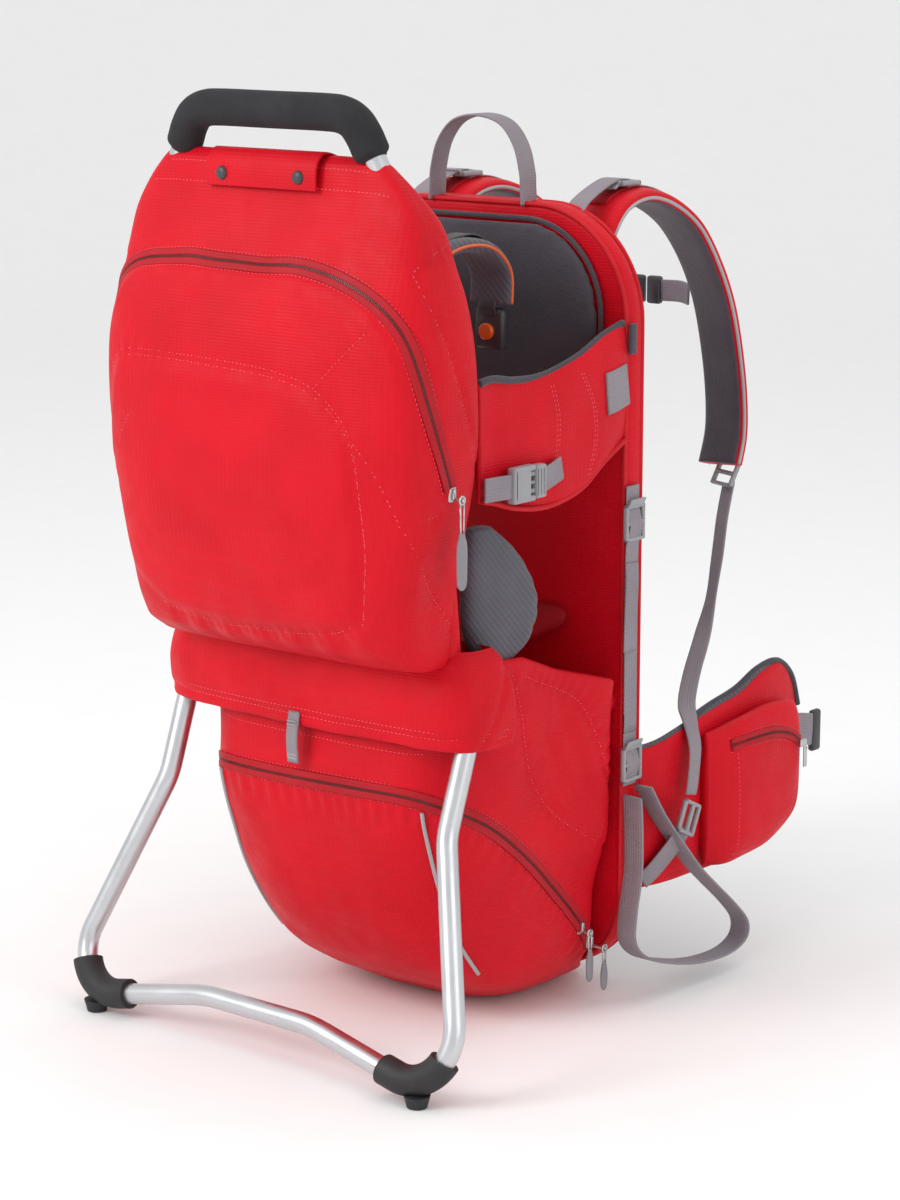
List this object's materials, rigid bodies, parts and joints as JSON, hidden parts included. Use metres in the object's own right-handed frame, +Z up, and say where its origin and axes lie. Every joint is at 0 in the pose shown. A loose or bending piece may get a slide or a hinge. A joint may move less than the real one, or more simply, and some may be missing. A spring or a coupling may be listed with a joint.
{
  "type": "baby carrier backpack",
  "caption": "Framed child carrier backpack with a carrying handle, zipped bags, padded harness and a fold-out stand.",
  "frame": {"origin": "on the ground, under the middle of the flat base panel", "axes": "+Z up; +Y towards the wearer's side, with the shoulder straps; -Y towards the stand; +X to the right seen from the stand side"},
  "size_m": [0.43, 0.6279, 0.8],
  "materials": {
    "red_fabric": "ripstop weave, slight sheen",
    "deep_red_fabric": "matt weave",
    "charcoal_fabric": "ribbed padded mesh",
    "grey_webbing": "woven webbing",
    "black_foam": "fine-grained foam",
    "rubber": "moulded, satin",
    "tube_aluminium": "satin anodised",
    "zinc": "bright cast",
    "grey_plastic": "moulded, satin",
    "dark_plastic": "moulded, satin",
    "orange_plastic": "moulded, gloss"
  },
  "bodies": {
    "frame": {"front_frame": "tube_aluminium", "crossbars": "tube_aluminium", "side_braces": "tube_aluminium", "rear_frame": "tube_aluminium", "handle_grip": "black_foam", "pivot_spacers": "dark_plastic", "pivot_pins": "zinc", "back_panel": "red_fabric", "head_pad": "charcoal_fabric", "back_pad": "charcoal_fabric", "lumbar_pad": "charcoal_fabric", "hip_roots": "red_fabric", "base_panel": "deep_red_fabric", "rear_body": "red_fabric", "upper_pocket": "red_fabric", "skirt_band": "red_fabric", "lower_bag": "red_fabric", "side_panels": "red_fabric", "seat": "deep_red_fabric", "side_wings": "red_fabric", "leg_pads": "charcoal_fabric", "harness_pads": "charcoal_fabric", "harness_buckle": "dark_plastic", "side_buckle_sockets": "grey_plastic", "compression_straps": "grey_webbing", "compression_buckles": "grey_plastic", "loop_webbing_left": "grey_webbing", "loop_webbing_right": "grey_webbing", "hip_rings": "grey_plastic", "gear_loop": "grey_webbing", "lower_webbing_left": "grey_webbing", "lower_webbing_right": "grey_webbing"},
    "stand": {"stand_tube": "tube_aluminium", "stand_feet": "rubber"},
    "shoulder_left": {"shoulder_strap_left": "red_fabric", "strap_buckles_left": "grey_plastic", "sternum_strap_left": "dark_plastic"},
    "shoulder_right": {"shoulder_strap_right": "red_fabric", "strap_buckles_right": "grey_plastic", "sternum_strap_right": "dark_plastic"},
    "fin_left": {"hip_fin_left": "charcoal_fabric", "hip_pocket_left": "red_fabric", "belt_end_left": "dark_plastic"},
    "fin_right": {"hip_fin_right": "charcoal_fabric", "hip_pocket_right": "red_fabric", "belt_end_right": "dark_plastic"},
    "fin_zip_left": {"hip_slider_left": "zinc"},
    "fin_zip_right": {"hip_slider_right": "zinc"},
    "flap": {"snap_flap": "red_fabric", "flap_snaps": "dark_plastic"},
    "upper_zip": {"pocket_slider": "zinc"},
    "upper_zip_pull": {"pocket_pull": "grey_webbing"},
    "bag_zip_high": {"bag_slider_upper": "zinc"},
    "bag_zip_high_pull": {"bag_pull_upper": "grey_webbing"},
    "bag_zip_low": {"bag_slider_lower": "zinc"},
    "bag_zip_low_pull": {"bag_pull_lower": "grey_webbing"},
    "top_loop": {"grab_loop": "grey_webbing"},
    "release_button": {"harness_button": "orange_plastic"},
    "plug_left": {"side_buckle_plug_left": "grey_plastic"},
    "plug_right": {"side_buckle_plug_right": "grey_plastic"}
  },
  "joints": [
    {"name": "stand_fold", "type": "hinge", "parent": "frame", "child": "stand", "pos_m": [0, -0.184, 0.29], "axis": [1, 0, 0], "range_deg": [0, 28]},
    {"name": "shoulder_lift_right", "type": "hinge", "parent": "frame", "child": "shoulder_right", "pos_m": [0.088, 0.052, 0.636], "axis": [1, 0, 0], "range_deg": [0, 14]},
    {"name": "shoulder_lift_left", "type": "hinge", "parent": "frame", "child": "shoulder_left", "pos_m": [-0.088, 0.052, 0.636], "axis": [1, 0, 0], "range_deg": [0, 14]},
    {"name": "fin_swing_right", "type": "hinge", "parent": "frame", "child": "fin_right", "pos_m": [0.167, 0.1155, 0.16], "axis": [0, 0, 1], "range_deg": [-20, 35]},
    {"name": "fin_swing_left", "type": "hinge", "parent": "frame", "child": "fin_left", "pos_m": [-0.167, 0.1155, 0.16], "axis": [0, 0, -1], "range_deg": [-20, 35]},
    {"name": "fin_zip_slide_right", "type": "slide", "parent": "fin_right", "child": "fin_zip_right", "axis": [0, -1, 0], "range_m": [0, 0.08]},
    {"name": "fin_zip_slide_left", "type": "slide", "parent": "fin_left", "child": "fin_zip_left", "axis": [0, -1, 0], "range_m": [0, 0.08]},
    {"name": "flap_lift", "type": "hinge", "parent": "frame", "child": "flap", "pos_m": [0, -0.24, 0.751], "axis": [-1, 0, 0], "range_deg": [0, 80]},
    {"name": "upper_zip_slide", "type": "slide", "parent": "frame", "child": "upper_zip", "axis": [0, 0, 1], "range_m": [0, 0.1]},
    {"name": "upper_pull_swing", "type": "hinge", "parent": "upper_zip", "child": "upper_zip_pull", "pos_m": [0.1785, -0.224, 0.486], "axis": [1, 0, 0], "range_deg": [-40, 40]},
    {"name": "bag_zip_high_slide", "type": "slide", "parent": "frame", "child": "bag_zip_high", "axis": [0.0985, -0.6879, 0.7191], "range_m": [0, 0.08]},
    {"name": "bag_pull_high_swing", "type": "hinge", "parent": "bag_zip_high", "child": "bag_zip_high_pull", "pos_m": [0.15206, -0.01251, 0.06926], "axis": [1, 0, 0], "range_deg": [-30, 22]},
    {"name": "bag_zip_low_slide", "type": "slide", "parent": "frame", "child": "bag_zip_low", "axis": [0.0985, -0.6879, 0.7191], "range_m": [0, 0.008]},
    {"name": "bag_pull_low_swing", "type": "hinge", "parent": "bag_zip_low", "child": "bag_zip_low_pull", "pos_m": [0.1557, 0.004, 0.052], "axis": [1, 0, 0], "range_deg": [-30, 30]},
    {"name": "top_loop_fold", "type": "hinge", "parent": "frame", "child": "top_loop", "pos_m": [0, 0.026, 0.7], "axis": [1, 0, 0], "range_deg": [-40, 60]},
    {"name": "release_button_press", "type": "slide", "parent": "frame", "child": "release_button", "axis": [0, 1, 0], "range_m": [0, 0.0015], "stiffness_N_per_m": 400, "springref_m": -0.002},
    {"name": "plug_pull_right", "type": "slide", "parent": "frame", "child": "plug_right", "axis": [0, 1, 0], "range_m": [0, 0.025]},
    {"name": "plug_pull_left", "type": "slide", "parent": "frame", "child": "plug_left", "axis": [0, 1, 0], "range_m": [0, 0.025]}
  ],
  "couplings": [
    {"joint": "shoulder_lift_left", "follows": "shoulder_lift_right", "ratio": 1}
  ]
}
